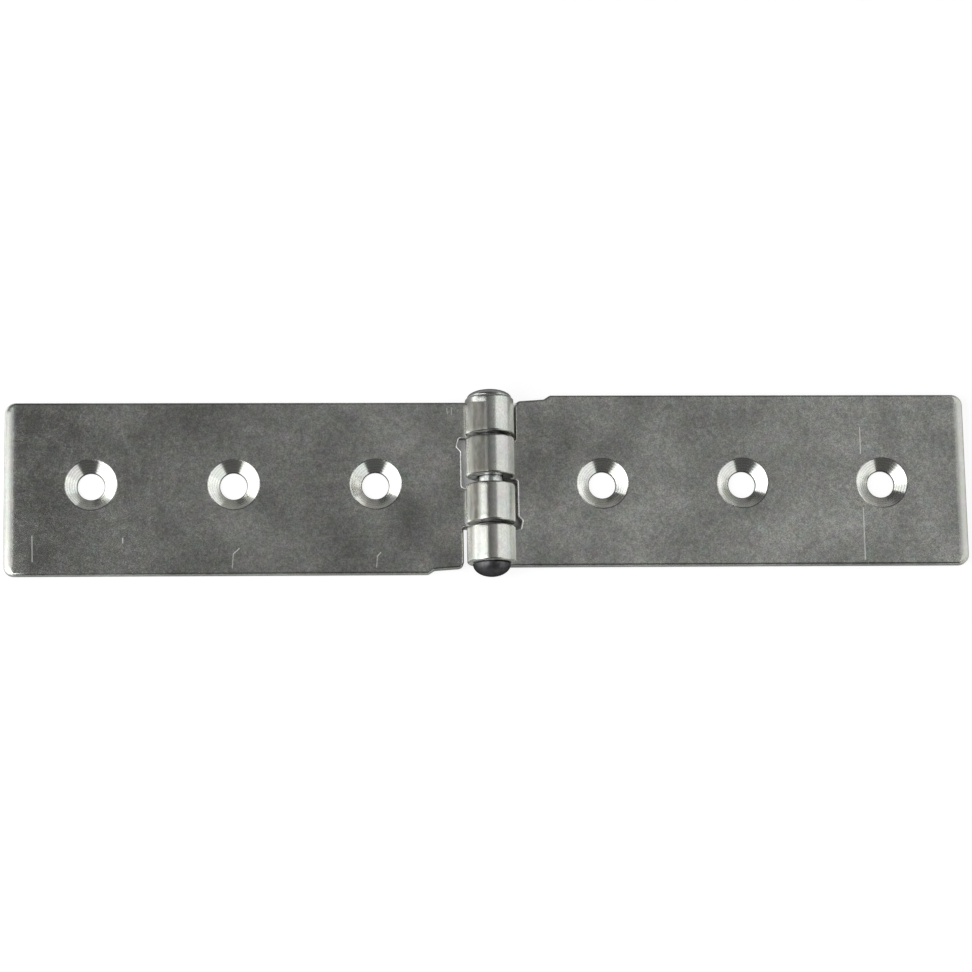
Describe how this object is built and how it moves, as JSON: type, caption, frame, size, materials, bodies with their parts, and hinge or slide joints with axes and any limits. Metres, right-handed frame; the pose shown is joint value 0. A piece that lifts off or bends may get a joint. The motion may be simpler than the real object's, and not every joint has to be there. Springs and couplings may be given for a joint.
{
  "type": "furniture hinge",
  "caption": "Long strap hinge of sheet steel: flat rectangular leaves with rows of countersunk screw holes, rolled knuckles between them and a riveted pin with domed heads.",
  "frame": {"origin": "centre of the open leaves, on the plane of their backs, under the pin", "axes": "+X along the leaves, towards the right leaf's free end; +Y along the pin; +Z out of the leaves' backs, towards the barrel"},
  "size_m": [0.2, 0.0393, 0.0101],
  "materials": {
    "leaf_steel": "bright zinc plating, finely mottled and lightly scratched",
    "pin_steel": "dark bare steel, satin"
  },
  "bodies": {
    "left_side": {"left_leaf": "leaf_steel", "pin": "pin_steel"},
    "right_side": {"right_leaf": "leaf_steel"}
  },
  "joints": [
    {"name": "leaf_fold", "type": "hinge", "parent": "left_side", "child": "right_side", "pos_m": [0, 0, 0.00505], "axis": [0, -1, 0], "range_deg": [-93, 180]}
  ]
}
